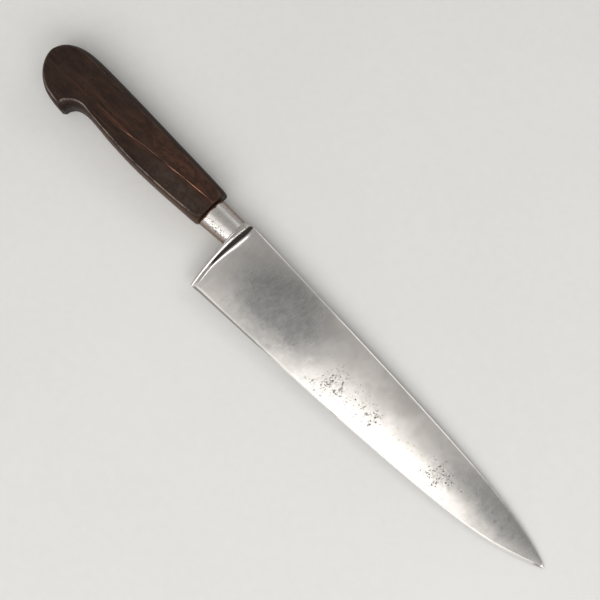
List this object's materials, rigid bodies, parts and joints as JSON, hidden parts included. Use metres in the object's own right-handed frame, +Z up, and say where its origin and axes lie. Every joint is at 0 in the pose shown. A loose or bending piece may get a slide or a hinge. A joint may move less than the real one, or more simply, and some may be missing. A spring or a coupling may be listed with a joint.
{
  "type": "chef knife",
  "caption": "Old French-pattern chef knife: long triangular forged blade with bolster and finger guard, oval steel neck, and a one-piece dark wood handle with a hooked butt.",
  "frame": {"origin": "on the surface that the knife lies on, below the middle of its bounding box", "axes": "+X from the butt to the blade's tip, +Y towards the spine, +Z up out of the blade's upper side; the knife lies on its side, pitched 1.8 degrees tip down"},
  "size_m": [0.3625, 0.0482, 0.0212],
  "materials": {
    "steel": "satin, cross-ground, with grey patina and small rust pits",
    "ebony": "worn, oiled, dark brown with reddish grain and one long crack",
    "cement": "dull dark resin cement",
    "brass": "dull, filed flush"
  },
  "bodies": {
    "root": {"blade_forging": "steel", "handle": "ebony", "tang_cement": "cement", "butt_rosette": "brass"}
  },
  "joints": []
}
